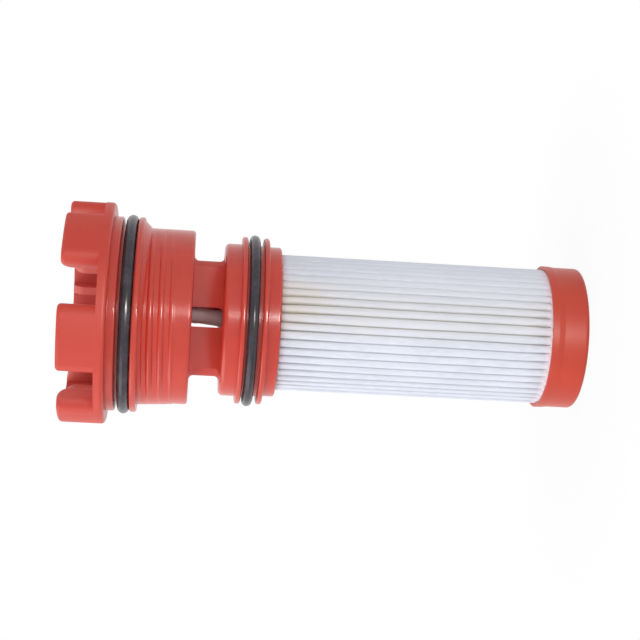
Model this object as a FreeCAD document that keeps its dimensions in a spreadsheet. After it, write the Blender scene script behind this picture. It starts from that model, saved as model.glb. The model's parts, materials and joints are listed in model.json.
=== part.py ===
import FreeCAD, Part
import math
import os
import Sketcher

# Screw-in fuel filter cartridge. The axis is +Z with the knob at the top, and the
# origin is the centre of the end cap's flat face, on which the cartridge stands.

# Driving dimensions in millimetres, angles in degrees.
SIZES = {
    # end cap
    "end_cap_height": 9.2,
    "end_cap_floor": 1.2,
    "end_cap_wall": 0.6,
    "end_cap_round": 1.0,
    "lip_proud": 0.2,
    "lip_width": 1.6,
    "lip_taper": 1.4,
    # pleated media and its glue
    "media_exposed": 66.7,
    "media_tip_radius": 17.05,
    "media_thickness": 0.4,
    "media_fit": 0.12,
    "media_insert": 1.2,
    "pleat_count": 48,
    "pleat_tip_fill": 0.8,
    "pleat_root_fill": 0.98,
    "seam_thickness": 0.2,
    "seam_depth": 4.5,
    "lower_potting_depth": 3.0,
    "upper_potting_depth": 2.8,
    "glue_gap": 0.05,
    # core tube inside the pleats, and its closed spigot in the neck
    "core_radius": 8.4,
    "core_wall": 1.2,
    "core_fit": 0.3,
    "core_window_rows": 6,
    "core_window_columns": 6,
    "core_window_width": 4.6,
    "core_bar": 3.2,
    "plug_length": 7.0,
    "spigot_radius": 4.0,
    "spigot_wall": 1.1,
    "spigot_end": 1.0,
    "outlet_width": 3.2,
    "outlet_length": 5.0,
    "outlet_sill": 1.0,
    "bore_radius": 5.5,
    "bore_fit": 0.05,
    "bore_end_gap": 0.3,
    "bore_web": 3.0,
    # cup and lower seal; each rise is counted from the cup's outside
    "cup_wall": 1.6,
    "cup_length": 3.1,
    "lower_groove_rise": 0.13,
    "lower_groove_width": 4.0,
    "lower_ring_cord": 2.6,
    "lower_ring_gap": 0.45,
    "lower_flange_rise": 2.13,
    "lower_flange_width": 1.35,
    "gland_rise": 2.23,
    "gland_width": 1.35,
    "shoulder_rise": 0.33,
    "shoulder_length": 4.2,
    "shoulder_edge": 1.2,
    # neck with its two flats and the port in each flat
    "neck_radius": 14.4,
    "neck_across_flats": 13.9,
    "neck_length": 7.5,
    "neck_fillet": 1.2,
    "port_width": 4.9,
    "port_round": 1.2,
    # threaded section; the pilot stands clear of the lower seal by its own rise
    "pilot_rise": 0.8,
    "pilot_length": 5.0,
    "pilot_edge": 0.8,
    "thread_depth": 0.25,
    "thread_length": 6.6,
    "step_rise": 0.5,
    "step_length": 0.95,
    # upper seal; each rise is counted from the groove, which is as wide as the pilot
    "collar_rise": 2.55,
    "collar_width": 1.65,
    "upper_groove_width": 3.7,
    "upper_ring_cord": 3.0,
    "flange_rise": 2.45,
    "flange_width": 2.1,
    "seal_edge": 0.55,
    "ring_seat": 0.05,
    # knob
    "knob_overhang": 3.35,
    "knob_ring_height": 2.45,
    "knob_lower_edge": 1.0,
    "lobe_height": 8.95,
    "lobe_count": 6,
    "lobe_wall": 2.6,
    "lobe_depth": 6.4,
    "lobe_rib": 2.0,
    "lobe_side": 2.2,
    "lobe_inner_round": 3.0,
    "lobe_corner": 2.7,
    "lobe_top_edge": 0.9,
    "gap_width": 9.45,
    "gap_turn": 42.6,
    "well_wall": 4.3,
    # how far a cut runs past the material it opens
    "cut_overrun": 2.0,
}

PARTS_FOLDER = "parts"
MATCH = 1e-4

doc = FreeCAD.newDocument("fuel_filter")
sheet = doc.addObject("Spreadsheet::Sheet", "Sizes")
for row, (alias, figure) in enumerate(SIZES.items(), start=1):
    sheet.set(f"A{row}", alias)
    sheet.set(f"B{row}", str(figure))
    sheet.setAlias(f"B{row}", alias)
doc.recompute()


def size(words):
    """Turns 'cup_wall + 2 * lip_width' into an expression on the sheet's cells."""
    pieces = words.replace("(", " ( ").replace(")", " ) ").split()
    return " ".join(f"Sizes.{piece}" if piece in SIZES else piece for piece in pieces)


def number(words):
    """The present value of such an expression, in millimetres or degrees."""
    found = sheet.evalExpression(size(words))
    return float(getattr(found, "Value", found))


def stack_up(*names):
    """Heights of a stack of steps: name of each step to the expression for its top."""
    tops = {}
    below = ""
    for name in names:
        below = f"{below} + {name}" if below else name
        tops[name] = below
    return tops


def bind(thing, prop, words):
    thing.setExpression(prop, size(words))


def new_body(label, height):
    """A body whose own zero height is at the given height of the cartridge."""
    body = doc.addObject("PartDesign::Body", label)
    body.Label = label
    bind(body, "Placement.Base.z", height)
    return body


def new_sketch(body, name, role):
    plane = next(item for item in body.Origin.OriginFeatures if item.Role == role)
    sketch = body.newObject("Sketcher::SketchObject", name)
    sketch.AttachmentSupport = [(plane, "")]
    sketch.MapMode = "FlatFace"
    return sketch


def pin_point(sketch, line, point, words, direction):
    """Ties one coordinate of a point to the sheet, measured from the origin."""
    value = number(words)
    if abs(value) < MATCH:
        axis = -2 if direction == "DistanceX" else -1
        sketch.addConstraint(Sketcher.Constraint("PointOnObject", line, point, axis))
        return
    if value > 0:
        rule = Sketcher.Constraint(direction, -1, 1, line, point, value)
        formula = size(words)
    else:
        rule = Sketcher.Constraint(direction, line, point, -1, 1, -value)
        formula = f"-({size(words)})"
    index = sketch.addConstraint(rule)
    sketch.setExpression(f"Constraints[{index}]", formula)


def draw_outline(sketch, corners):
    """A closed outline of straight lines; each corner is a pair of expressions."""
    points = [FreeCAD.Vector(number(x), number(y), 0) for x, y in corners]
    first = sketch.GeometryCount
    count = len(points)
    for i in range(count):
        sketch.addGeometry(Part.LineSegment(points[i], points[(i + 1) % count]), False)
    for i in range(count):
        after = first + (i + 1) % count
        sketch.addConstraint(Sketcher.Constraint("Coincident", first + i, 2, after, 1))
    for i, (x, y) in enumerate(corners):
        pin_point(sketch, first + i, 1, x, "DistanceX")
        pin_point(sketch, first + i, 1, y, "DistanceY")


def rectangle(x_low, x_high, y_low, y_high):
    return [(x_low, y_low), (x_high, y_low), (x_high, y_high), (x_low, y_high)]


def draw_rounded_panel(sketch, x_low, x_high, height, radius):
    """A rectangle that stands on the sketch's X axis, rounded at its upper inner corner."""
    left, right, top, bend = (number(words) for words in (x_low, x_high, height, radius))
    corners = [FreeCAD.Vector(*place, 0) for place in (
        (left, 0), (right, 0), (right, top), (left + bend, top), (left, top - bend))]
    bottom, outer, upper = (
        sketch.addGeometry(Part.LineSegment(corners[i], corners[i + 1]), False) for i in range(3))
    circle = Part.Circle(FreeCAD.Vector(left + bend, top - bend, 0), FreeCAD.Vector(0, 0, 1), bend)
    arc = sketch.addGeometry(Part.ArcOfCircle(circle, math.pi / 2, math.pi), False)
    inner = sketch.addGeometry(Part.LineSegment(corners[4], corners[0]), False)
    for one, two in ((bottom, outer), (outer, upper), (inner, bottom)):
        sketch.addConstraint(Sketcher.Constraint("Coincident", one, 2, two, 1))
    sketch.addConstraint(Sketcher.Constraint("Tangent", upper, 2, arc, 1))
    sketch.addConstraint(Sketcher.Constraint("Tangent", arc, 2, inner, 1))
    sketch.addConstraint(Sketcher.Constraint("Horizontal", upper))
    sketch.addConstraint(Sketcher.Constraint("Vertical", inner))
    for line, x, y in ((bottom, x_low, "0"), (outer, x_high, "0"), (upper, x_high, height)):
        pin_point(sketch, line, 1, x, "DistanceX")
        pin_point(sketch, line, 1, y, "DistanceY")
    index = sketch.addConstraint(Sketcher.Constraint("Radius", arc, bend))
    sketch.setExpression(f"Constraints[{index}]", size(radius))


def revolve(body, name, corners):
    sketch = new_sketch(body, f"{name}_profile", "XZ_Plane")
    draw_outline(sketch, corners)
    turned = body.newObject("PartDesign::Revolution", name)
    turned.Profile = sketch
    turned.ReferenceAxis = (sketch, ["V_Axis"])
    turned.Angle = 360.0
    return turned


def turn_sketch(sketch, height, angle="0"):
    """Lifts a horizontal sketch and turns it about the cartridge's axis."""
    bind(sketch, "AttachmentOffset.Base.z", height)
    sketch.AttachmentOffset = FreeCAD.Placement(
        FreeCAD.Vector(0, 0, number(height)),
        FreeCAD.Rotation(FreeCAD.Vector(0, 0, 1), number(angle)))
    if angle != "0":
        bind(sketch, "AttachmentOffset.Rotation.Angle", angle)


def stand_sketch(sketch, height, angle):
    """Lifts an upright sketch and turns it about the cartridge's axis."""
    sketch.AttachmentOffset = FreeCAD.Placement(
        FreeCAD.Vector(0, number(height), 0),
        FreeCAD.Rotation(FreeCAD.Vector(0, 1, 0), number(angle)))
    bind(sketch, "AttachmentOffset.Base.y", height)
    bind(sketch, "AttachmentOffset.Rotation.Angle", angle)


def extrude(body, kind, name, sketch, length, both_ways=False):
    """A PartDesign Pad or Pocket of a sketch over a bound length."""
    made = body.newObject(f"PartDesign::{kind}", name)
    made.Profile = sketch
    made.Type = "Length"
    if both_ways:
        made.SideType = "Symmetric"
    bind(made, "Length", length)
    return made


def repeat(body, name, feature, count, axis="N_Axis"):
    """Copies of a feature all round; the axis is one of its sketch's own."""
    pattern = body.newObject("PartDesign::PolarPattern", name)
    pattern.Originals = [feature]
    pattern.Axis = (feature.Profile[0], [axis])
    pattern.Angle = 360.0
    bind(pattern, "Occurrences", count)
    body.Tip = pattern
    return pattern


def ring_edges(shape, rings):
    """Names of the circular edges about the axis with a given radius and height."""
    wanted = [(number(radius), number(height)) for radius, height in rings]
    names = []
    for index, edge in enumerate(shape.Edges, start=1):
        if edge.Curve.TypeId != "Part::GeomCircle":
            continue
        centre = edge.Curve.Center
        if math.hypot(centre.x, centre.y) > MATCH:
            continue
        for radius, height in wanted:
            if abs(edge.Curve.Radius - radius) < MATCH and abs(centre.z - height) < MATCH:
                names.append(f"Edge{index}")
    return names


def upright_edges(shape, radius):
    """Names of the straight upright edges that lie at a given distance from the axis."""
    names = []
    for index, edge in enumerate(shape.Edges, start=1):
        if edge.Curve.TypeId != "Part::GeomLine":
            continue
        low, high = (vertex.Point for vertex in edge.Vertexes)
        level = math.hypot(high.x - low.x, high.y - low.y)
        if level < MATCH and abs(math.hypot(low.x, low.y) - number(radius)) < MATCH:
            names.append(f"Edge{index}")
    return names


def crosswise_edges(shape, x_words, z_words):
    """Names of the straight edges along Y at a given place beside the axis."""
    names = []
    for index, edge in enumerate(shape.Edges, start=1):
        if edge.Curve.TypeId != "Part::GeomLine":
            continue
        one, two = (vertex.Point for vertex in edge.Vertexes)
        along_y = abs(one.x - two.x) < MATCH and abs(one.z - two.z) < MATCH
        if along_y and abs(abs(one.x) - number(x_words)) < MATCH \
                and abs(one.z - number(z_words)) < MATCH:
            names.append(f"Edge{index}")
    return names


def soften(body, name, edges, radius):
    """A fillet on named edges of the body as it stands."""
    if not edges:
        raise RuntimeError(f"{name} finds no edge")
    base = body.Tip
    fillet = body.newObject("PartDesign::Fillet", name)
    fillet.Base = (base, edges)
    bind(fillet, "Radius", radius)
    doc.recompute()
    return fillet


def body_shape(body):
    """The body's shape in the body's own frame."""
    doc.recompute()
    return body.Tip.Shape


# Heights shared by the pieces.
MEDIA_BOTTOM = "end_cap_floor + lower_potting_depth"
CUP_RIM = "end_cap_height + media_exposed"
CUP_DEPTH = "media_insert + upper_potting_depth"
MEDIA_LENGTH = f"{CUP_RIM} + media_insert - end_cap_floor - lower_potting_depth"

# Radii shared by the pieces, each one built on the one before.
MEDIA_INNER = "core_radius + core_fit"
SHELL_INNER = "media_tip_radius + media_fit"
CUP_OUTER = f"{SHELL_INNER} + cup_wall"
LOWER_GROOVE = f"{CUP_OUTER} + lower_groove_rise"
LOWER_FLANGE = f"{CUP_OUTER} + lower_flange_rise"
GLAND = f"{CUP_OUTER} + gland_rise"
SHOULDER = f"{CUP_OUTER} + shoulder_rise"
PILOT = f"{GLAND} + pilot_rise"
COLLAR = f"{PILOT} + collar_rise"
FLANGE = f"{PILOT} + flange_rise"
KNOB = f"{FLANGE} + knob_overhang"

# Heights on the cap, counted from the cup's rim.
CAP = stack_up("cup_length", "lower_flange_width", "lower_groove_width", "gland_width",
               "shoulder_length", "neck_length", "pilot_length", "thread_length",
               "step_length", "collar_width", "upper_groove_width", "flange_width",
               "knob_ring_height", "lobe_height")
BORE_TOP = CAP["neck_length"] + " + bore_end_gap"
WELL_FLOOR = BORE_TOP + " + bore_web"


def cap_profile():
    """Half section of the cap without the knob's gaps, from the well to the bore."""
    well = f"{PILOT} - well_wall"
    lobe_inside = f"{KNOB} - lobe_wall"
    step = f"{PILOT} + step_rise"
    thread_root = f"{PILOT} - thread_depth"
    return [
        ("0", WELL_FLOOR),
        (well, WELL_FLOOR),
        (well, CAP["knob_ring_height"]),
        (lobe_inside, CAP["knob_ring_height"]),
        (lobe_inside, CAP["lobe_height"]),
        (KNOB, CAP["lobe_height"]),
        (KNOB, CAP["flange_width"]),
        (FLANGE, CAP["flange_width"]),
        (FLANGE, CAP["upper_groove_width"]),
        (PILOT, CAP["upper_groove_width"]),
        (PILOT, CAP["collar_width"]),
        (COLLAR, CAP["collar_width"]),
        (COLLAR, CAP["step_length"]),
        (step, CAP["step_length"]),
        (thread_root, CAP["thread_length"]),
        (thread_root, CAP["pilot_length"]),
        (PILOT, CAP["pilot_length"]),
        (PILOT, CAP["neck_length"]),
        ("neck_radius", CAP["neck_length"]),
        ("neck_radius", CAP["shoulder_length"]),
        (SHOULDER, CAP["shoulder_length"]),
        (SHOULDER, CAP["gland_width"]),
        (GLAND, CAP["gland_width"]),
        (GLAND, CAP["lower_groove_width"]),
        (LOWER_GROOVE, CAP["lower_groove_width"]),
        (LOWER_GROOVE, CAP["lower_flange_width"]),
        (LOWER_FLANGE, CAP["lower_flange_width"]),
        (LOWER_FLANGE, CAP["cup_length"]),
        (CUP_OUTER, CAP["cup_length"]),
        (CUP_OUTER, "0"),
        (SHELL_INNER, "0"),
        (SHELL_INNER, CUP_DEPTH),
        ("bore_radius", CUP_DEPTH),
        ("bore_radius", BORE_TOP),
        ("0", BORE_TOP),
    ]


def make_cap():
    body = new_body("cap_body", CUP_RIM)
    revolve(body, "turned_form", cap_profile())

    rounded = ring_edges(body_shape(body), [
        ("neck_radius", CAP["neck_length"]),
        ("neck_radius", CAP["shoulder_length"])])
    soften(body, "neck_fillets", rounded, "neck_fillet")
    rounded = ring_edges(body_shape(body), [
        (SHOULDER, CAP["shoulder_length"])])
    soften(body, "shoulder_round", rounded, "shoulder_edge")
    rounded = ring_edges(body_shape(body), [(PILOT, CAP["neck_length"])])
    soften(body, "pilot_round", rounded, "pilot_edge")
    rounded = ring_edges(body_shape(body), [
        (FLANGE, CAP["upper_groove_width"]),
        (COLLAR, CAP["collar_width"]),
        (COLLAR, CAP["step_length"]),
        (GLAND, CAP["gland_width"]),
        (GLAND, CAP["lower_groove_width"]),
        (LOWER_FLANGE, CAP["lower_flange_width"]),
        (LOWER_FLANGE, CAP["cup_length"]),
        (CUP_OUTER, "0")])
    soften(body, "seal_land_rounds", rounded, "seal_edge")
    lower_rim = ring_edges(body_shape(body), [(KNOB, CAP["flange_width"])])
    soften(body, "knob_lower_round", lower_rim, "knob_lower_edge")

    make_knob(body)
    make_neck(body)
    return body


def make_webs(body, name, angle, thickness):
    """Upright walls inside the knob, one to each lobe or gap, rounded at the inner upper corner."""
    outline = new_sketch(body, f"{name}_outline", "XZ_Plane")
    stand_sketch(outline, CAP["knob_ring_height"], angle)
    draw_rounded_panel(outline, f"{KNOB} - lobe_depth", f"{KNOB} - lobe_wall / 2",
                       "lobe_height", "lobe_inner_round")
    web = extrude(body, "Pad", name, outline, thickness, both_ways=True)
    repeat(body, f"all_{name}", web, "lobe_count", "V_Axis")


def make_knob(body):
    """Six hollow lobes: an outer wall, a middle rib and a side wall at each gap."""
    make_webs(body, "lobe_sides", "gap_turn", "gap_width + 2 * lobe_side")
    make_webs(body, "lobe_ribs", "gap_turn + 180 / lobe_count", "lobe_rib")

    gap = new_sketch(body, "gap_outline", "XY_Plane")
    turn_sketch(gap, CAP["lobe_height"], "gap_turn")
    draw_outline(gap, rectangle(f"{KNOB} - lobe_depth - cut_overrun", f"{KNOB} + cut_overrun",
                                "gap_width / -2", "gap_width / 2"))
    opening = extrude(body, "Pocket", "gap", gap, "lobe_height")
    repeat(body, "all_gaps", opening, "lobe_count")

    corners = upright_edges(body_shape(body), KNOB)
    soften(body, "lobe_corners", corners, "lobe_corner")
    tops = ring_edges(body_shape(body), [(KNOB, CAP["lobe_height"])])
    soften(body, "lobe_top_edges", tops, "lobe_top_edge")


def make_neck(body):
    """Two flats on the neck, with a port through each of them into the bore."""
    flats = new_sketch(body, "neck_flats_outline", "XY_Plane")
    turn_sketch(flats, CAP["neck_length"])
    reach = "neck_radius + cut_overrun"
    draw_outline(flats, rectangle(f"-1 * ({reach})", reach, "neck_across_flats / 2", reach))
    draw_outline(flats, rectangle(f"-1 * ({reach})", reach,
                                  f"-1 * ({reach})", "neck_across_flats / -2"))
    extrude(body, "Pocket", "neck_flats", flats, "neck_length")

    port = new_sketch(body, "port_outline", "XZ_Plane")
    draw_outline(port, rectangle("port_width / -2", "port_width / 2",
                                 CAP["shoulder_length"], CAP["neck_length"]))
    extrude(body, "Pocket", "ports", port, "neck_radius * 2", both_ways=True)
    sill = crosswise_edges(body_shape(body), "port_width / 2", CAP["shoulder_length"])
    soften(body, "port_corners", sill, "port_round")


def make_end_cap():
    inner = SHELL_INNER
    outer = f"{inner} + end_cap_wall"
    lip = f"{outer} + lip_proud"
    body = new_body("end_cap", "0")
    revolve(body, "cap_shell", [
        ("0", "0"),
        (outer, "0"),
        (outer, "end_cap_height - lip_width - lip_taper"),
        (lip, "end_cap_height - lip_width"),
        (lip, "end_cap_height"),
        (inner, "end_cap_height"),
        (inner, "end_cap_floor"),
        ("0", "end_cap_floor"),
    ])
    corner = ring_edges(body_shape(body), [(outer, "0")])
    soften(body, "closed_end_round", corner, "end_cap_round")
    return body


def make_potting(label, height, inner, outer, depth):
    """A cast adhesive layer: a ring, or a plain disc where the inner radius is 0."""
    body = new_body(label, height)
    revolve(body, f"{label}_layer", [(inner, "0"), (outer, "0"), (outer, depth), (inner, depth)])
    return body


def make_core():
    """A perforated tube inside the pleats with a closed spigot that stands in the neck's bore."""
    cage_top = f"{CUP_RIM} + {CUP_DEPTH} - end_cap_floor - lower_potting_depth"
    plug_top = f"{cage_top} + plug_length"
    neck_foot = f"{CUP_RIM} + {CAP['shoulder_length']} - end_cap_floor - lower_potting_depth"
    spigot_top = f"{neck_foot} + neck_length"
    core_bore = "core_radius - core_wall"
    spigot_bore = "spigot_radius - spigot_wall"
    body = new_body("core_tube", MEDIA_BOTTOM)
    revolve(body, "tube_form", [
        (core_bore, "0"),
        ("core_radius", "0"),
        ("core_radius", cage_top),
        ("bore_radius - bore_fit", cage_top),
        ("bore_radius - bore_fit", plug_top),
        ("spigot_radius", plug_top),
        ("spigot_radius", spigot_top),
        ("0", spigot_top),
        ("0", f"{spigot_top} - spigot_end"),
        (spigot_bore, f"{spigot_top} - spigot_end"),
        (spigot_bore, f"{cage_top} - core_wall"),
        (core_bore, f"{cage_top} - core_wall"),
    ])
    windows = new_sketch(body, "window_column_outline", "XZ_Plane")
    pitch = f"({cage_top}) / core_window_rows"
    for row in range(int(number("core_window_rows"))):
        draw_outline(windows, rectangle(
            "core_window_width / -2", "core_window_width / 2",
            f"{pitch} * {row} + core_bar / 2", f"{pitch} * {row + 1} - core_bar / 2"))
    column = extrude(body, "Pocket", "window_column", windows, "core_radius + cut_overrun")
    repeat(body, "all_windows", column, "core_window_columns", "V_Axis")

    outlet = new_sketch(body, "outlet_outline", "YZ_Plane")
    draw_outline(outlet, rectangle(
        "outlet_width / -2", "outlet_width / 2", f"{neck_foot} + outlet_sill",
        f"{neck_foot} + outlet_sill + outlet_length"))
    extrude(body, "Pocket", "outlets", outlet, "4 * spigot_radius", both_ways=True)
    return body


def turned(point, degrees):
    return FreeCAD.Rotation(FreeCAD.Vector(0, 0, 1), degrees).multVec(point)


def pleat_wire(tip_radius, root_radius, tip_bend, root_bend):
    """One closed line through all pleats: tip arcs and root arcs joined by tangents."""
    count = int(number("pleat_count"))
    pitch = 360.0 / count
    tip = FreeCAD.Vector(tip_radius, 0, 0)
    root = turned(FreeCAD.Vector(root_radius, 0, 0), pitch / 2)
    along = root - tip
    lean = (tip_bend + root_bend) / along.Length
    along.normalize()
    across = FreeCAD.Vector(along.y, -along.x, 0)
    normal = along * lean + across * math.sqrt(1 - lean * lean)
    flank_tip = tip + normal * tip_bend
    flank_root = root - normal * root_bend
    crown = FreeCAD.Vector(tip_radius + tip_bend, 0, 0)
    floor = turned(FreeCAD.Vector(root_radius - root_bend, 0, 0), pitch / 2)
    tip_start = FreeCAD.Vector(flank_tip.x, -flank_tip.y, 0)
    next_root = turned(FreeCAD.Vector(flank_root.x, -flank_root.y, 0), pitch)
    next_tip = turned(tip_start, pitch)
    edges = []
    for index in range(count):
        places = [turned(point, pitch * index) for point in (
            tip_start, crown, flank_tip, flank_root, floor, next_root, next_tip)]
        edges.append(Part.Arc(*places[0:3]).toShape())
        edges.append(Part.LineSegment(*places[2:4]).toShape())
        edges.append(Part.Arc(*places[3:6]).toShape())
        edges.append(Part.LineSegment(*places[5:7]).toShape())
    return Part.Wire(edges)


def make_media():
    """A ring of rounded pleats of even thickness, drawn by formula and extruded.

    The bends fill a set share of the pitch at the tips and at the roots."""
    share = math.pi / number("pleat_count")
    sheet_thickness = number("media_thickness")
    tip_bend = number("media_tip_radius") / (1 + 1 / (share * number("pleat_tip_fill")))
    root_fold = number(MEDIA_INNER) / (1 / (share * number("pleat_root_fill")) - 1)
    tip_radius = number("media_tip_radius") - tip_bend
    root_radius = number(MEDIA_INNER) + root_fold
    outside = pleat_wire(tip_radius, root_radius, tip_bend, root_fold - sheet_thickness)
    inside = pleat_wire(tip_radius, root_radius, tip_bend - sheet_thickness, root_fold)
    face = Part.makeFace([outside, inside], "Part::FaceMakerBullseye")
    media = doc.addObject("Part::Feature", "pleated_media")
    media.Label = "pleated_media"
    media.Shape = face.extrude(FreeCAD.Vector(0, 0, number(MEDIA_LENGTH)))
    media.Placement = FreeCAD.Placement(
        FreeCAD.Vector(0, 0, number(MEDIA_BOTTOM)), FreeCAD.Rotation())
    return media


def make_seam():
    """The thin glue line in one valley, where the pleat pack's two ends meet."""
    seam = doc.addObject("Part::Box", "seam_strip")
    seam.Label = "seam_strip"
    bind(seam, "Length", "seam_depth")
    bind(seam, "Width", "seam_thickness")
    bind(seam, "Height", MEDIA_LENGTH)
    turn = 180.0 / number("pleat_count")
    corner = FreeCAD.Vector(number(f"{MEDIA_INNER} + media_thickness + media_fit"),
                            number("seam_thickness / -2"), number(MEDIA_BOTTOM))
    seam.Placement = FreeCAD.Placement(
        turned(corner, turn), FreeCAD.Rotation(FreeCAD.Vector(0, 0, 1), turn))
    return seam


def make_ring(label, seat_radius, cord, height):
    """An O-ring stretched over its groove."""
    ring = doc.addObject("Part::Torus", label)
    ring.Label = label
    bind(ring, "Radius1", f"{seat_radius} + ring_seat + {cord} / 2")
    bind(ring, "Radius2", f"{cord} / 2")
    bind(ring, "Placement.Base.z", height)
    return ring


def check_and_write(pieces):
    doc.recompute()
    failed = [item.Label for item in doc.Objects
              if "Invalid" in item.State or "Error" in item.State]
    if failed:
        raise RuntimeError("failed: " + ", ".join(failed))
    for piece in pieces:
        if piece.Shape.isNull() or not piece.Shape.isValid():
            raise RuntimeError(f"{piece.Label} has no valid shape")
    os.makedirs(PARTS_FOLDER, exist_ok=True)
    for piece in pieces:
        piece.Shape.exportStep(f"{PARTS_FOLDER}/{piece.Label}.step")
        box = piece.Shape.BoundBox
        print(f"{piece.Label:16s} solids {len(piece.Shape.Solids)}  volume "
              f"{piece.Shape.Volume:10.1f}  z {box.ZMin:7.2f} to {box.ZMax:7.2f}  "
              f"across {box.XLength:6.2f}")


pieces = [
    make_cap(),
    make_ring("upper_o_ring", PILOT, "upper_ring_cord",
              f"{CUP_RIM} + {CAP['collar_width']} + ring_seat + upper_ring_cord / 2"),
    make_ring("lower_o_ring", LOWER_GROOVE, "lower_ring_cord",
              f"{CUP_RIM} + {CAP['lower_groove_width']} - lower_ring_gap - lower_ring_cord / 2"),
    make_media(),
    make_seam(),
    make_core(),
    make_potting("upper_potting", f"{CUP_RIM} + media_insert", "core_radius + glue_gap",
                 f"{SHELL_INNER} - glue_gap", "upper_potting_depth"),
    make_potting("lower_potting", "end_cap_floor", "0", f"{SHELL_INNER} - glue_gap",
                 "lower_potting_depth"),
    make_end_cap(),
]
check_and_write(pieces)
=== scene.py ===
# The filter element on a pale floor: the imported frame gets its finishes, and the thread,
# the pleated paper and the seals get their own meshes over it.
import json
import math
import random
import bpy
from mathutils import Matrix, Vector, noise

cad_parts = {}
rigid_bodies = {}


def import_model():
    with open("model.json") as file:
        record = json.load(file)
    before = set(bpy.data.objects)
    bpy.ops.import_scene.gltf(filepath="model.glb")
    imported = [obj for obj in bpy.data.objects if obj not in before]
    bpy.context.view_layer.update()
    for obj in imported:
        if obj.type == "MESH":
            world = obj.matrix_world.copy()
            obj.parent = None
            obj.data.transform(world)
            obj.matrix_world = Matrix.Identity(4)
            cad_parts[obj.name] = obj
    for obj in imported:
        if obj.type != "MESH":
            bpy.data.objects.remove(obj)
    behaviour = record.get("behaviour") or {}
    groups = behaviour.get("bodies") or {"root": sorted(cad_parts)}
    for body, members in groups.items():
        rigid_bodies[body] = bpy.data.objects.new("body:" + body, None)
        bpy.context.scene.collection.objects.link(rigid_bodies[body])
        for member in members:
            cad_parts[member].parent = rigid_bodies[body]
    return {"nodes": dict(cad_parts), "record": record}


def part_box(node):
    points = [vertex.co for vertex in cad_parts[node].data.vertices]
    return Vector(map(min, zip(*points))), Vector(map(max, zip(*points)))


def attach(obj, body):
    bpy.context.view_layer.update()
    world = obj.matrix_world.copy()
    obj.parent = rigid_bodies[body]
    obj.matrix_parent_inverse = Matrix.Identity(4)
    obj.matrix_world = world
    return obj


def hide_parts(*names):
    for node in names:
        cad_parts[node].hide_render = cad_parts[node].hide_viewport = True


millimetre = 0.001
fullTurn = 2 * math.pi

for leftover in list(bpy.data.objects):
    bpy.data.objects.remove(leftover)

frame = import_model()
bpy.context.view_layer.update()
nodes = frame["nodes"]
mounts = {mount["name"]: mount for mount in frame["record"]["mounts"]}
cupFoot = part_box("cap_body")[0].z             # the cup's rim, where the paper goes in
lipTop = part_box("end_cap")[1].z
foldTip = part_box("pleated_media")[1].x
print("frame loaded:", len(nodes), "nodes")


class Wire:
    # one output socket: sums and products of wires and numbers add the nodes they need

    def __init__(self, recipe, socket):
        self.recipe = recipe
        self.socket = socket

    def __add__(self, other):
        return self.recipe.combine("ADD", self, other)

    def __radd__(self, other):
        return self.recipe.combine("ADD", other, self)

    def __sub__(self, other):
        return self.recipe.combine("SUBTRACT", self, other)

    def __rsub__(self, other):
        return self.recipe.combine("SUBTRACT", other, self)

    def __mul__(self, other):
        return self.recipe.combine("MULTIPLY", self, other)

    def __rmul__(self, other):
        return self.recipe.combine("MULTIPLY", other, self)


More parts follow.
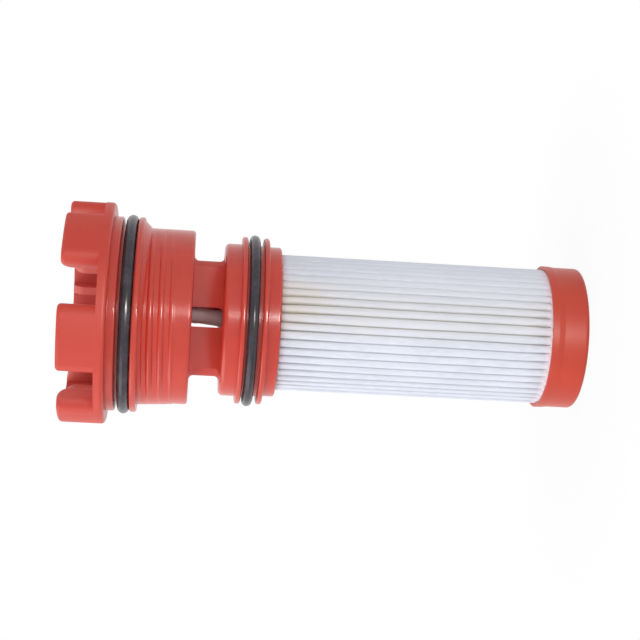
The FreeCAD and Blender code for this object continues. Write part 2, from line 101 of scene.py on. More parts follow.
class Recipe:
    # the node tree of a material or of the world, written from empty

    def __init__(self, owner):
        owner.use_nodes = True
        self.owner = owner
        self.tree = owner.node_tree
        self.tree.nodes.clear()

    def node(self, kind, settings=None, sockets=None, output=0):
        made = self.tree.nodes.new(kind)
        for name, value in (settings or {}).items():
            setattr(made, name, value)
        for name, value in (sockets or {}).items():
            if isinstance(value, Wire):
                self.tree.links.new(value.socket, made.inputs[name])
            elif isinstance(value, tuple) and made.inputs[name].type == "RGBA":
                made.inputs[name].default_value = (*value, 1.0)
            else:
                made.inputs[name].default_value = value
        return Wire(self, made.outputs[output] if made.outputs else None)

    def combine(self, operation, first, second):
        kinds = {part.socket.type for part in (first, second) if isinstance(part, Wire)}
        if "RGBA" in kinds:
            return self.mix(1.0, first, second, operation)
        if "VECTOR" in kinds:
            kind = "ShaderNodeVectorMath"
        else:
            kind = "ShaderNodeMath"
        return self.node(kind, {"operation": operation}, {0: first, 1: second})

    def mix(self, share, first, second, blendType="MIX"):
        settings = {"data_type": "RGBA", "blend_type": blendType}
        sockets = {0: share, 6: first, 7: second}       # factor and the two colours
        return self.node("ShaderNodeMix", settings, sockets, output=2)

    def place(self, output="Object"):
        return self.node("ShaderNodeTexCoord", output=output)

    def axes(self, place):
        split = self.node("ShaderNodeSeparateXYZ", sockets={0: place}).socket.node
        return [Wire(self, socket) for socket in split.outputs]

    def fromAxis(self, place):
        # distance from the filter's own upright axis
        settings = {"operation": "LENGTH"}
        flat = place * Vector((1.0, 1.0, 0.0))
        return self.node("ShaderNodeVectorMath", settings, {0: flat}, output="Value")

    def along(self, place, direction):
        # how far a place lies in one direction
        settings = {"operation": "DOT_PRODUCT"}
        sockets = {0: place, 1: direction}
        return self.node("ShaderNodeVectorMath", settings, sockets, output="Value")

    def cloud(self, place, size, detail=3.0, roughness=0.5, distortion=0.0):
        # soft noise around 0.5, with patches about as wide as size
        sockets = {"Vector": place, "Scale": 1 / size, "Detail": detail,
                   "Roughness": roughness, "Distortion": distortion}
        return self.node("ShaderNodeTexNoise", sockets=sockets)

    def rise(self, value, low, high):
        # 0 below low, 1 above high, smooth between
        settings = {"interpolation_type": "SMOOTHSTEP"}
        return self.node("ShaderNodeMapRange", settings,
                         {"Value": value, "From Min": low, "From Max": high})

    def bump(self, height, depth):
        sockets = {"Height": height, "Distance": depth, "Strength": 1.0}
        return self.node("ShaderNodeBump", sockets=sockets)

    def seen(self):
        # 1 for the rays that show the background as plain white
        rays = ("Is Camera Ray", "Is Glossy Ray", "Is Transmission Ray")
        total = self.node("ShaderNodeLightPath", output=rays[0])
        for ray in rays[1:]:
            sockets = {0: total, 1: self.node("ShaderNodeLightPath", output=ray)}
            total = self.node("ShaderNodeMath", {"operation": "MAXIMUM"}, sockets)
        return total

    def glow(self, colour, strength):
        inWorld = self.owner.id_type == "WORLD"
        kind = "ShaderNodeBackground" if inWorld else "ShaderNodeEmission"
        return self.node(kind, sockets={"Color": colour, "Strength": strength})

    def blend(self, share, first, second):
        return self.node("ShaderNodeMixShader", sockets={0: share, 1: first, 2: second})

    def close(self, shader):
        inWorld = self.owner.id_type == "WORLD"
        kind = "ShaderNodeOutputWorld" if inWorld else "ShaderNodeOutputMaterial"
        self.node(kind, sockets={"Surface": shader})
        return self.owner

    def finish(self, **sockets):
        named = {name.replace("_", " "): value for name, value in sockets.items()}
        return self.close(self.node("ShaderNodeBsdfPrincipled", sockets=named))


def newRecipe(name):
    return Recipe(bpy.data.materials.new(name))


# the cap's round walls are polished; its knob, its neck and the end cap are duller
capLook = {
    "deep": (0.62, 0.047, 0.025),
    "fresh": (0.67, 0.055, 0.029),
    "pale": (0.72, 0.084, 0.050),
    # the next colour is painted light for the walls inside the knob's hollows
    "inner": (0.72, 0.155, 0.120),
    "flowSize": 0.011,
    "mottleSize": 0.0016,
    "grainSize": 0.00025,
    "grainDepth": 0.0000030,
    "sinkSize": 0.0060,
    "sinkDepth": 0.000012,
    "polished": 0.24,
    "knob": 0.50,
    "knobFoot": 0.1170,         # height above which the knob's finish begins
    "neck": 0.62,
    "neckReach": 0.0155,        # radius of the neck with its fillet
}
endLook = {
    "deep": (0.61, 0.051, 0.019),
    "fresh": (0.66, 0.058, 0.021),
    "pale": (0.70, 0.083, 0.042),
    # the next colour is painted light for hollows, which the end cap never shows as it has no
    # knob
    "inner": (0.72, 0.155, 0.120),
    "flowSize": 0.014,
    "mottleSize": 0.0013,
    "grainSize": 0.00022,
    "grainDepth": 0.0000040,
    "sinkSize": 0.0090,
    "sinkDepth": 0.000010,
    "polished": 0.37,
    "knob": 0.37,
    "knobFoot": 1.0,            # higher than the filter: the end cap has no knob
    "neck": 0.60,
    "neckReach": 0.0,           # and no neck
}


# what both reds share: streaks along the flow of the melt, and painted light that makes the walls
# in the knob's hollows paler
moulding = {
    "flowStretch": Vector((1.0, 1.0, 0.35)),
    "flowRange": (0.32, 0.68),
    "paleRange": (0.60, 0.80),
    "paleShare": 0.25,
    "edgeFade": 0.0005,
    "knobFade": 0.0012,
    "hollowRange": (0.0240, 0.0264),
    "hollowShare": 0.55,
    "hollowMottle": 0.5,
    "wander": 0.16,
    "grainWander": 0.05,
    "refraction": 1.50,
}


def mouldedRed(name, look):
    recipe = newRecipe(name)
    place = recipe.place()
    up = recipe.axes(place)[2]
    flow = recipe.cloud(place * moulding["flowStretch"], look["flowSize"],
                        detail=4.0, distortion=0.6)
    mottle = recipe.cloud(place, look["mottleSize"], detail=3.0)
    grain = recipe.cloud(place, look["grainSize"], detail=2.0)
    sink = recipe.cloud(place, look["sinkSize"], detail=1.0)
    colour = recipe.mix(recipe.rise(flow, *moulding["flowRange"]), look["deep"], look["fresh"])
    pale = recipe.rise(mottle, *moulding["paleRange"]) * moulding["paleShare"]
    colour = recipe.mix(pale, colour, look["pale"])
    radius = recipe.fromAxis(place)
    outer = recipe.rise(radius, look["neckReach"] - moulding["edgeFade"],
                        look["neckReach"] + moulding["edgeFade"])
    knob = recipe.rise(up, look["knobFoot"], look["knobFoot"] + moulding["knobFade"])
    # painted light: the walls inside the knob's hollows are made paler, as if more light reached
    # them
    paintedLight = knob * (1.0 - recipe.rise(radius, *moulding["hollowRange"]))
    paintedLight = paintedLight * (moulding["hollowShare"] + mottle * moulding["hollowMottle"])
    colour = recipe.mix(paintedLight, colour, look["inner"])
    roughness = (look["polished"] - look["neck"]) * outer + look["neck"]
    roughness = roughness + (look["knob"] - look["polished"]) * knob
    wander = (flow * 0.6 + mottle * 0.4 - 0.5) * moulding["wander"]
    wander = wander + (grain - 0.5) * moulding["grainWander"]
    height = grain * (look["grainDepth"] / look["sinkDepth"]) + sink
    return recipe.finish(
        Base_Color=colour,
        Roughness=roughness + wander,
        Normal=recipe.bump(height, look["sinkDepth"]),
        IOR=moulding["refraction"],
    )


rubberLook = {
    "dark": (0.034, 0.029, 0.036),
    "dusty": (0.082, 0.070, 0.080),
    "bloomSize": 0.0045,
    "speckSize": 0.0005,
    "grainSize": 0.00018,
    "grainDepth": 0.000005,
    "bloomRange": (0.35, 0.75),
    "bloomShare": 0.7,
    "speckRange": (0.70, 0.76),
    "speckShare": 0.5,
    "roughness": 0.25,
    "bloomWander": 0.20,
    "grainWander": 0.10,
    "shine": 0.36,
}


def sealRubber():
    look = rubberLook
    recipe = newRecipe("fuelProofRubber")
    place = recipe.place()
    bloom = recipe.cloud(place, look["bloomSize"], detail=5.0, roughness=0.6)
    grain = recipe.cloud(place, look["grainSize"], detail=3.0)
    specks = recipe.cloud(place, look["speckSize"], detail=2.0)
    dust = recipe.rise(bloom, *look["bloomRange"]) * look["bloomShare"]
    colour = recipe.mix(dust, look["dark"], look["dusty"])
    dust = recipe.rise(specks, *look["speckRange"]) * look["speckShare"]
    colour = recipe.mix(dust, colour, look["dusty"])
    wander = (bloom - 0.5) * look["bloomWander"] + (grain - 0.5) * look["grainWander"]
    return recipe.finish(
        Base_Color=colour,
        Roughness=look["roughness"] + wander,
        Normal=recipe.bump(grain, look["grainDepth"]),
        Specular_IOR_Level=look["shine"],
    )


# the paper is warmer in a band on the side facing -Y, with cream patches within it where fuel
# soaked it by the cup
paperLook = {
    "crest": (0.86, 0.875, 0.93),
    "shade": (0.79, 0.805, 0.865),
    "aged": (0.86, 0.85, 0.83),
    # the next colour is painted light for the paper's +X side
    "clean": (0.93, 0.945, 0.99),
    "cream": (0.80, 0.68, 0.53),
    "glued": (0.95, 0.90, 0.93),
    # the next two colours are painted shade for the creases, the second warmer for the warm band
    "crease": (0.50, 0.505, 0.53),
    "stained": (0.58, 0.53, 0.41),
    "creaseShare": 0.50,
    "pressedShare": 0.70,       # how much of the creases' painted shade is gone where they are pressed
    "creaseTop": 0.00022,       # depths below the folds' tips over which the painted crease shade sets in
    "creaseFoot": 0.00060,
    "fibreSize": 0.00055,
    "fibreStretch": Vector((1.0, 1.0, 0.22)),
    "crossStretch": Vector((0.35, 0.35, 1.0)),
    "fibreDepth": 0.000020,
    "patchSize": 0.006,
    "patchStretch": Vector((1.0, 1.0, 0.5)),
    "toneRange": (0.36, 0.62),
    "bandRise": (-0.006, 0.001),        # the warm band, measured across the filter
    "bandTop": 0.013,
    "bandFall": 0.006,
    "bandFront": 0.010,
    "agedShare": 0.55,
    "creamReach": 0.032,
    "creamRange": (0.30, 0.62),
    "creamShare": 0.45,
    "cleanRange": (0.004, 0.012),
    "cleanShare": 0.7,
    "pressedRange": (0.003, 0.010),
    "gluedFoot": 0.0004,
    "gluedReach": 0.0018,
    "roughness": 0.62,
    "wander": 0.15,
    "shine": 0.45,
}


def filterPaper():
    look = paperLook
    recipe = newRecipe("filterPaper")
    place = recipe.place()
    across, along, up = recipe.axes(place)
    longFibre = recipe.cloud(place * look["fibreStretch"], look["fibreSize"],
                             detail=4.0, distortion=0.5)
    crossFibre = recipe.cloud(place * look["crossStretch"], look["fibreSize"] * 0.7,
                              detail=3.0, distortion=0.8)
    patches = recipe.cloud(place * look["patchStretch"], look["patchSize"], detail=3.0)
    tone = recipe.rise(longFibre * 0.5 + patches * 0.5, *look["toneRange"])
    colour = recipe.mix(tone, look["shade"], look["crest"])
    nearCup = recipe.rise(up, cupFoot - look["creamReach"], cupFoot)
    # a warmer tint in a band on the side facing -Y
    band = recipe.rise(across, *look["bandRise"])
    band = band * recipe.rise(look["bandTop"] - across, 0.0, look["bandFall"])
    band = band * recipe.rise(along * -1.0, 0.0, look["bandFront"])
    colour = recipe.mix(band * look["agedShare"], colour, look["aged"])
    soaked = nearCup * band * recipe.rise(patches, *look["creamRange"])
    colour = recipe.mix(soaked * look["creamShare"], colour, look["cream"])
    # painted light: the paper is made paler on its +X side, away from the cup, as if more light
    # fell there
    clean = recipe.rise(across, *look["cleanRange"]) * (1.0 - nearCup)
    colour = recipe.mix(clean * look["cleanShare"], colour, look["clean"])
    # painted shade: the creases between the folds are darkened by their depth below the tips
    depth = foldTip - recipe.fromAxis(place)
    pressed = recipe.rise(across, *look["pressedRange"]) * look["pressedShare"]
    creaseShade = recipe.rise(depth, look["creaseTop"], look["creaseFoot"]) * (1.0 - pressed)
    creaseShadeTint = recipe.mix(band, look["crease"], look["stained"])
    colour = recipe.mix(creaseShade * look["creaseShare"], colour, creaseShadeTint)
    glued = 1.0 - recipe.rise(up, lipTop + look["gluedFoot"], lipTop + look["gluedReach"])
    colour = recipe.mix(glued, colour, look["glued"])
    return recipe.finish(
        Base_Color=colour,
        Roughness=look["roughness"] + (longFibre - 0.5) * look["wander"],
        Normal=recipe.bump(longFibre * 0.6 + crossFibre * 0.4, look["fibreDepth"]),
        Specular_IOR_Level=look["shine"],
    )


greyLook = {
    "dark": (0.66, 0.43, 0.41),
    "light": (0.74, 0.50, 0.48),
    "flowSize": 0.004,
    "grainSize": 0.00025,
    "grainDepth": 0.000004,
    "flowRange": (0.3, 0.7),
    "roughness": 0.32,
    "wander": 0.12,
}


def corePlastic():
    look = greyLook
    recipe = newRecipe("corePlastic")
    place = recipe.place()
    flow = recipe.cloud(place, look["flowSize"], detail=3.0)
    grain = recipe.cloud(place, look["grainSize"], detail=2.0)
    return recipe.finish(
        Base_Color=recipe.mix(recipe.rise(flow, *look["flowRange"]), look["dark"], look["light"]),
        Roughness=look["roughness"] + (flow - 0.5) * look["wander"],
        Normal=recipe.bump(grain, look["grainDepth"]),
    )


adhesiveLook = {
    "pottingLight": (0.80, 0.76, 0.64),
    "pottingDark": (0.62, 0.55, 0.40),
    "seamLight": (0.78, 0.72, 0.58),
    "seamDark": (0.60, 0.52, 0.38),
    "flowSize": 0.0035,
    "flowRange": (0.3, 0.7),
    "bubbleSize": 0.0007,
    "bubbleRange": (0.66, 0.74),
    "bubbleShare": 0.4,
    "depth": 0.00012,
    "roughness": 0.42,
    "wander": 0.2,
}


def castAdhesive(name, light, dark):
    look = adhesiveLook
    recipe = newRecipe(name)
    place = recipe.place()
    flow = recipe.cloud(place, look["flowSize"], detail=4.0, distortion=0.8)
    bubbles = recipe.cloud(place, look["bubbleSize"], detail=1.0)
    bubbles = recipe.rise(bubbles, *look["bubbleRange"])
    colour = recipe.mix(recipe.rise(flow, *look["flowRange"]), dark, light)
    return recipe.finish(
        Base_Color=recipe.mix(bubbles * look["bubbleShare"], colour, dark),
        Roughness=look["roughness"] + (flow - 0.5) * look["wander"],
        Normal=recipe.bump(flow * 0.7 + bubbles * 0.3, look["depth"]),
    )


capRed = mouldedRed("polishedRed", capLook)
endRed = mouldedRed("satinRed", endLook)
rubber = sealRubber()
paper = filterPaper()
greyPlastic = corePlastic()
potting = castAdhesive("pottingResin", adhesiveLook["pottingLight"], adhesiveLook["pottingDark"])
seamGlue = castAdhesive("seamGlue", adhesiveLook["seamLight"], adhesiveLook["seamDark"])
finishOf = {
    "cap_body": capRed,
    "end_cap": endRed,
    "upper_o_ring": rubber,
    "lower_o_ring": rubber,
    "pleated_media": paper,
    "seam_strip": seamGlue,
    "core_tube": greyPlastic,
    "upper_potting": potting,
    "lower_potting": potting,
}
for name, material in finishOf.items():
    for materialSlot in nodes[name].material_slots:
        materialSlot.material = material
print("finishes made:", len(finishOf), "nodes dressed")


def gridPiece(name, rows, columns, pointAt, material):
    # a closed ring of rows, each a closed loop of columns; pointAt(row, column) gives each point
    points = [pointAt(row, column) for row in range(rows) for column in range(columns)]
    faces = []
    for row in range(rows):
        above = (row + 1) % rows
        for column in range(columns):
            beside = (column + 1) % columns
            faces.append((row * columns + column, row * columns + beside,
                          above * columns + beside, above * columns + column))
    mesh = bpy.data.meshes.new(name)
    mesh.from_pydata(points, [], faces)
    mesh.polygons.foreach_set("use_smooth", [True] * len(mesh.polygons))
    mesh.materials.append(material)
    mesh.update()
    piece = bpy.data.objects.new(name, mesh)
    bpy.context.collection.objects.link(piece)
    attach(piece, "root")
    return piece


def polar(radius, turn, height):
    return (radius * math.cos(turn), radius * math.sin(turn), height)


def smoothStep(value):
    value = min(max(value, 0.0), 1.0)
    return value * value * (3 - 2 * value)


# one right-hand groove winds up the cap and leaves a narrow rounded ridge between its
# turns; it runs out where the mould halves met, and the cap stands a little fuller at -X
thread = {
    "pitch": 2.64 * millimetre,
    "core": 21.57 * millimetre,
    "skin": 0.015 * millimetre,
    "ridgeRise": 0.06 * millimetre,
    "fullness": 0.20 * millimetre,
    "growth": 0.35 * millimetre,
    "ridgeWidth": 1.06 * millimetre,
    "ridgeHeight": 0.45 * millimetre,
    "firstTurn": math.radians(-225),
    "turns": 2.72,
    "fadeTurn": 0.12,
    "partingPower": 6,
    "ridgeStart": 0.55,
    "ridgeFade": 0.25,
    "runIn": 1.9 * millimetre,
    "runOut": 0.95 * millimetre,
    "coneFoot": 0.56 * millimetre,
    "coneSwell": 1.15 * millimetre,
    "embed": 0.55 * millimetre,
    "roundSteps": 420,
    "heightSteps": 180,
}


def makeThread():
    look = thread
    seat = mounts["thread"]
    length = seat["dims"]["length_mm"] * millimetre
    pilot = seat["dims"]["r_mm"] * millimetre + look["skin"]
    bottom = seat["pos_m"][2] - length / 2
    low = bottom - look["runIn"]
    foot = bottom + length + look["runOut"]
    top = foot + look["embed"] / 2
    outerRows = look["heightSteps"]
    curve = look["ridgeHeight"] / (look["ridgeWidth"] / math.sqrt(2)) ** 2

    def radiusAt(turn, height):
        travelled = (height - bottom) / look["pitch"]
        phase = (turn - look["firstTurn"]) / fullTurn
        wound = round(travelled - phase) + phase            # turns from the groove's start
        opened = smoothStep(wound / look["fadeTurn"])
        opened *= smoothStep((look["turns"] - wound) / look["fadeTurn"])
        cutAway = 1 - abs(math.cos(turn)) ** look["partingPower"]
        fuller = look["fullness"] * smoothStep((height - low - look["skin"]) / look["runIn"])
        fuller += look["growth"] * max(height - bottom, 0.0) / length
        level = pilot + fuller * (0.5 - 0.5 * math.cos(turn))
        floor = level - (level - look["core"]) * opened * cutAway
        ridgeTurn = wound + math.copysign(0.5, travelled - wound)
        aside = (0.5 - abs(travelled - wound)) * look["pitch"]
        shown = smoothStep((ridgeTurn + look["ridgeStart"]) / look["ridgeFade"])
        ridge = level + look["ridgeRise"] * cutAway * shown - curve * aside ** 2
        if ridgeTurn < 0:
            floor = min(floor, level - look["ridgeRise"] * shown)
        swell = look["coneSwell"] * (0.5 + 0.5 * math.cos(turn)) ** 2
        coneTop = pilot + look["coneFoot"] + swell
        return max(floor, ridge, coneTop - max(foot - height, 0.0))

    def pointAt(row, column):
        turn = fullTurn * column / look["roundSteps"]
        if row < outerRows:
            height = low + (top - low) * row / (outerRows - 1)
            tucked = look["embed"] / 4 if row == 0 else 0
            return polar(radiusAt(turn, height) - tucked, turn, height)
        return polar(look["core"] - look["embed"], turn, top if row == outerRows else low)

    return gridPiece("thread_sleeve", outerRows + 2, look["roundSteps"], pointAt,
                     capRed)


makeThread()
print("thread made")


# the cords keep a fine line of flash inside and outside, where their mould parted
seal = {
    "flash": 0.035 * millimetre,
    "flashWidth": 0.10,
    "wander": 0.01 * millimetre,
    "wanderPace": 2.0,
    "roundSteps": 320,
    "cordSteps": 64,
}


def makeSeal(nodeName):
    look = seal
    low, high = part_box(nodeName)
    cord = (high.z - low.z) / 2
    centreHeight = (high.z + low.z) / 2
    reach = high.x - cord
    chance = random.Random(nodeName)
    drift = Vector((chance.uniform(0, 9), chance.uniform(0, 9), 0))

    def pointAt(row, column):
        angle = fullTurn * row / look["cordSteps"]
        turn = fullTurn * column / look["roundSteps"]
        around = Vector((math.cos(turn), math.sin(turn), 0))
        wobble = noise.noise(around * look["wanderPace"] + drift) * look["wander"]
        fromMiddle = min(abs(math.sin(angle / 2)), abs(math.cos(angle / 2)))
        ridge = look["flash"] * max(0.0, 1 - fromMiddle / (look["flashWidth"] / 2))
        size = cord - look["flash"] + ridge
        return polar(reach + size * math.cos(angle), turn,
                     centreHeight + size * math.sin(angle) + wobble)

    piece = gridPiece(nodeName + "_rubber", look["cordSteps"], look["roundSteps"], pointAt,
                      rubber)
    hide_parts(nodeName)
    return piece


for nodeName in ("upper_o_ring", "lower_o_ring"):
    makeSeal(nodeName)
print("seals made")


# the core tube ends in a thin flat tongue, which leaves a gap beside it in the neck's port
spigot = {
    "oldRadius": 4.05 * millimetre,
    "share": Vector((0.545, 0.14, 1.0)),
    "lift": 0.86 * millimetre,
    "lean": 0.105,
    "leanFrom": 97.4 * millimetre,
}


def makeCore():
    look = spigot
    mesh = nodes["core_tube"].data.copy()
    mesh.name = "core_with_spigot"
    for vertex in mesh.vertices:
        if math.hypot(vertex.co.x, vertex.co.y) < look["oldRadius"]:
            leaning = (vertex.co.z - look["leanFrom"]) * look["lean"]
            vertex.co = vertex.co * look["share"] + Vector((look["lift"] + leaning, 0, 0))
    piece = bpy.data.objects.new("core_with_spigot", mesh)
    bpy.context.collection.objects.link(piece)
    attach(piece, "root")
    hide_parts("core_tube")
    return piece


makeCore()
print("core made")


# the folds stand shoulder to shoulder: the creases between them are shallow along the
# middle, deeper towards both caps, and glue fills them where they enter the end cap
pleats = {
    "count": 48,
    "sheet": 0.4 * millimetre,
    "gap": 0.01 * millimetre,
    "offset": math.radians(1.8),
    "twist": math.radians(0.6),
    "rootRadius": 8.7 * millimetre,
    "rootFill": 0.5,
    "heldShare": 0.08,
    "seed": 11,
    "jitter": 0.07,             # shares of a fold's width
    "waver": 0.05,
    "waverLength": 16 * millimetre,
    "waverStep": 3.7,           # sets each fold's waver apart from the next one's
    "waverStart": 0.3,
    "slack": 0.12 * millimetre,
    "creaseMiddle": 0.40 * millimetre,
    "creaseEnd": 0.95 * millimetre,
    "pressedTurn": math.radians(-34),
    "pressedReach": math.radians(42),
    "pressedShare": 0.80,
    "openTurn": math.radians(-84),
    "openReach": math.radians(24),
    "openShare": 0.45,
    "lowTurn": math.radians(-162),
    "lowReach": math.radians(52),
    "lowShare": 1.6,
    "sunkFold": 25,
    "sunk": 0.28 * millimetre,
    "cupReach": 26 * millimetre,
    "endReach": 7 * millimetre,
    "glueRise": 1.7 * millimetre,
    "glueDip": 0.25 * millimetre,
    "tipSteps": 11,
    "flankSteps": 4,
    "rootSteps": 3,
    "fineRow": 0.35 * millimetre,
    "coarseRow": 2.6 * millimetre,
    "rowGrowth": 0.12,
}


def makePaper():
    look = pleats
    low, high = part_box("pleated_media")
    tip = high.x - look["sheet"] / 2
    pitch = fullTurn / look["count"]
    foot = look["rootRadius"] + look["sheet"] / 2
    rootBend = look["rootRadius"] * look["rootFill"] * pitch / 2
    halfFoot = rootBend / (foot + rootBend)
    chance = random.Random(look["seed"])
    shift = [chance.uniform(-1, 1) * look["jitter"] * pitch for index in range(look["count"])]
    pull = [chance.uniform(0, 1) * look["slack"] for index in range(look["count"])]
    pull[look["sunkFold"]] += look["sunk"]

    def levelAt(height):
        return (height - low.z) / (high.z - low.z)

    def freedom(height):
        # 0 where a cap holds the folds in place, 1 between the caps
        level = levelAt(height)
        return smoothStep(min(level, 1 - level) / look["heldShare"])

    def creaseTurn(index, height):
        # where fold number index meets the next one
        drift = Vector((index * look["waverStep"], height / look["waverLength"],
                        look["waverStart"]))
        waver = noise.noise(drift) * look["waver"] * pitch
        lap = index // look["count"]
        index = index % look["count"]
        bent = look["offset"] + look["twist"] * (levelAt(height) - 0.5)
        straight = pitch * (index + 0.5) + lap * fullTurn + bent
        return straight + freedom(height) * (shift[index] + waver)

    def near(turn, spot):
        # 1 in the middle of the pressed, open or low spot, 0 past its reach
        away = abs((turn - look[spot + "Turn"] + math.pi) % fullTurn - math.pi)
        return smoothStep(1 - away / look[spot + "Reach"])

    def wholeLine(height):
        # the middle of the sheet at one height, as pairs of radius and turn
        free = freedom(height)
        nearCup = smoothStep(1 - (cupFoot - height) / look["cupReach"])
        nearEnd = smoothStep(1 - (height - lipTop) / look["endReach"])
        deeper = (look["creaseEnd"] - look["creaseMiddle"]) * max(nearCup ** 2, nearEnd)
        deepest = look["creaseMiddle"] + deeper
        glued = 1 - smoothStep((height - lipTop) / look["glueRise"])
        shallowest = tip - look["glueDip"]
        points = []
        for index in range(look["count"]):
            before = creaseTurn(index - 1, height)
            after = creaseTurn(index, height)
            reach = (after - before) / 2 - (look["sheet"] / 2 + look["gap"]) / tip
            centre = (after + before) / 2
            crown = tip - free * pull[index]
            crease = deepest * (1 - look["pressedShare"] * near(centre, "pressed"))
            crease *= 1 + look["openShare"] * near(centre, "open")
            crease *= 1 + look["lowShare"] * near(centre, "low")
            for step in range(look["tipSteps"]):
                angle = math.pi * (step / (look["tipSteps"] - 1) - 0.5)
                points.append((crown - crease * (1 - math.cos(angle)),
                               centre + reach * math.sin(angle)))
            start = (crown - crease, centre + reach)
            following = (tip - free * pull[(index + 1) % look["count"]] - crease,
                         after + (look["sheet"] / 2 + look["gap"]) / tip)
            root = foot + rootBend
            valley = []
            for step in range(1, look["flankSteps"] + 1):
                share = step / (look["flankSteps"] + 1)
                valley.append((start[0] + (root - start[0]) * share,
                               start[1] + (after - halfFoot - start[1]) * share))
            for step in range(look["rootSteps"]):
                angle = math.pi * step / (look["rootSteps"] - 1)
                valley.append((root - rootBend * math.sin(angle),
                               after - halfFoot * math.cos(angle)))
            for step in range(1, look["flankSteps"] + 1):
                share = step / (look["flankSteps"] + 1)
                valley.append((root + (following[0] - root) * share,
                               after + halfFoot + (following[1] - after - halfFoot) * share))
            points += [(radius + max(0.0, shallowest - radius) * glued, turn)
                       for radius, turn in valley]
        return points

    heights = [low.z]                         # rows are closest where the glue rises
    while heights[-1] < high.z:
        away = abs(heights[-1] - lipTop - look["glueRise"] / 2)
        step = min(look["fineRow"] + look["rowGrowth"] * away, look["coarseRow"])
        heights.append(heights[-1] + step)
    stretch = (high.z - low.z) / (heights[-1] - low.z)
    heights = [low.z + (height - low.z) * stretch for height in heights]
    rings = []
    for height in heights:
        flat = [Vector(polar(radius, turn, 0)) for radius, turn in wholeLine(height)]
        sides = []
        for index, point in enumerate(flat):
            along = (flat[(index + 1) % len(flat)] - flat[index - 1]).normalized()
            sides.append(Vector((along.y, -along.x, 0)))
        rings.append((height, flat, sides))

    def pointAt(row, column):
        outside = row < len(rings)
        height, flat, sides = rings[row if outside else 2 * len(rings) - 1 - row]
        point = flat[column] + sides[column] * look["sheet"] / 2 * (1 if outside else -1)
        return (point.x, point.y, height)

    piece = gridPiece("pleated_paper", 2 * len(rings), len(rings[0][1]), pointAt,
                      paper)
    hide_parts("pleated_media")
    return piece


makePaper()
print("paper made")


stage = {
    "floorRadius": 3.0,
    "floorSides": 64,
    "floorColour": (0.74, 0.74, 0.75),
    "shadowShare": 0.06,
    "shadowNear": 0.015,
    "shadowFar": 0.090,
    "background": (1.0, 1.0, 1.0),
    "skyColour": (0.95, 0.98, 1.05),
    "skyDim": 0.08,
    "skyBright": 0.92,
    "skySide": Vector((-0.30, -0.08, 0.28)),
}


def makeFloor():
    look = stage
    sides = look["floorSides"]
    corners = [polar(look["floorRadius"], fullTurn * side / sides, 0.0) for side in range(sides)]
    mesh = bpy.data.meshes.new("floor")
    mesh.from_pydata(corners, [], [tuple(range(sides))])
    recipe = newRecipe("paleFloor")
    distance = recipe.fromAxis(recipe.place())
    clear = recipe.rise(distance, look["shadowNear"], look["shadowFar"])
    shadow = look["shadowShare"] * (1.0 - clear)
    matt = recipe.node("ShaderNodeBsdfDiffuse", sockets={"Color": look["floorColour"]})
    white = recipe.glow(look["background"], 1.0)
    mesh.materials.append(recipe.close(recipe.blend(recipe.seen() * (1.0 - shadow), matt, white)))
    floor = bpy.data.objects.new("floor", mesh)
    bpy.context.collection.objects.link(floor)


def makeSky():
    # a soft tent of light, brighter on one side, in front of a plain white background
    look = stage
    world = bpy.data.worlds.new("studio")
    bpy.context.scene.world = world
    recipe = Recipe(world)
    share = recipe.along(recipe.place("Generated"), look["skySide"].normalized()) * 0.5 + 0.5
    tent = recipe.blend(share, recipe.glow(look["skyColour"], look["skyDim"]),
                        recipe.glow(look["skyColour"], look["skyBright"]))
    recipe.close(recipe.blend(recipe.seen(), tent, recipe.glow(look["background"], 1.0)))


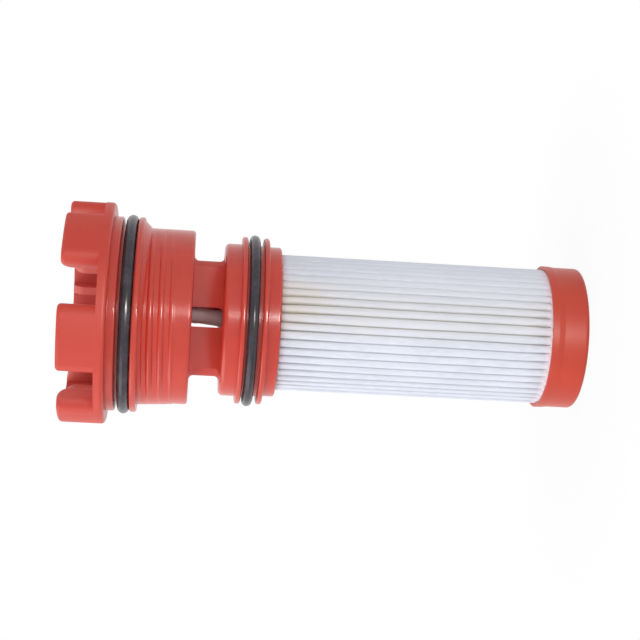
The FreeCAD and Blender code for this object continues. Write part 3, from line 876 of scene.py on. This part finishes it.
# levels are what a matt white sheet that faces the lamp would show; the glint is a small
# bright lamp that only reflections show
lamps = {
    "softBox": {"place": (-0.55, -0.05, 0.42), "aim": (0.0, 0.0, 0.07), "size": (0.60, 0.60),
                "colour": (0.97, 0.985, 1.0), "level": 0.45, "seenIn": ("diffuse", "glossy")},
    "fill": {"place": (0.50, -0.80, 0.12), "aim": (0.0, 0.0, 0.07), "size": (1.20, 0.70),
             "colour": (1.0, 1.0, 1.0), "level": 0.25, "seenIn": ("diffuse",)},
    "strip": {"place": (0.030, -0.390, 0.070), "aim": (0.0, 0.0, 0.07), "size": (0.010, 0.090),
              "colour": (1.0, 0.95, 0.92), "level": 0.055, "seenIn": ("diffuse", "glossy")},
    "glint": {"place": (0.0162, -0.220, 0.024), "aim": (0.0, 0.0, 0.09), "size": (0.008, 0.044),
              "colour": (1.0, 0.95, 0.92), "level": 0.75, "seenIn": ("glossy",)},
}


def makeLamps():
    for name, lamp in lamps.items():
        data = bpy.data.lights.new(name, "AREA")
        data.shape = "RECTANGLE"
        data.size, data.size_y = lamp["size"]
        data.color = lamp["colour"]
        place = Vector(lamp["place"])
        sight = Vector(lamp["aim"]) - place
        data.energy = lamp["level"] * math.pi ** 2 * sight.length_squared
        light = bpy.data.objects.new(name, data)
        light.location = place
        light.rotation_mode = "QUATERNION"
        light.rotation_quaternion = sight.to_track_quat("-Z", "Y")
        light.visible_camera = False
        light.visible_diffuse = "diffuse" in lamp["seenIn"]
        light.visible_glossy = "glossy" in lamp["seenIn"]
        bpy.context.collection.objects.link(light)


viewpoint = {
    "distance": 0.393,
    "around": math.radians(2.5),
    "height": 0.0978,
    "downwards": math.radians(4.76),
    "aside": 0.00115,
    "roll": math.radians(3.12),
    "lens": 87.75,
    "sensor": 36.0,
    "nearest": 0.01,
}


def makeCamera():
    look = viewpoint
    data = bpy.data.cameras.new("camera")
    data.lens = look["lens"]
    data.sensor_width = look["sensor"]
    data.clip_start = look["nearest"]
    forward = Vector((look["aside"] / look["distance"], math.cos(look["downwards"]),
                      -math.sin(look["downwards"]))).normalized()
    level = forward.cross(Vector((1, 0, 0))).normalized()
    raised = level.cross(forward)
    right = level * math.cos(look["roll"]) + raised * math.sin(look["roll"])
    upward = raised * math.cos(look["roll"]) - level * math.sin(look["roll"])
    turned = Matrix((right, upward, -forward)).transposed().to_4x4()
    swing = Matrix.Rotation(-look["around"], 4, "Z")
    camera = bpy.data.objects.new("camera", data)
    stand = Matrix.Translation((0, -look["distance"], look["height"]))
    camera.matrix_world = swing @ stand @ turned
    bpy.context.collection.objects.link(camera)
    bpy.context.scene.camera = camera


makeFloor()
makeSky()
makeLamps()
makeCamera()
bpy.context.scene.view_settings.view_transform = "Standard"
print("stage ready")

bpy.context.view_layer.update()
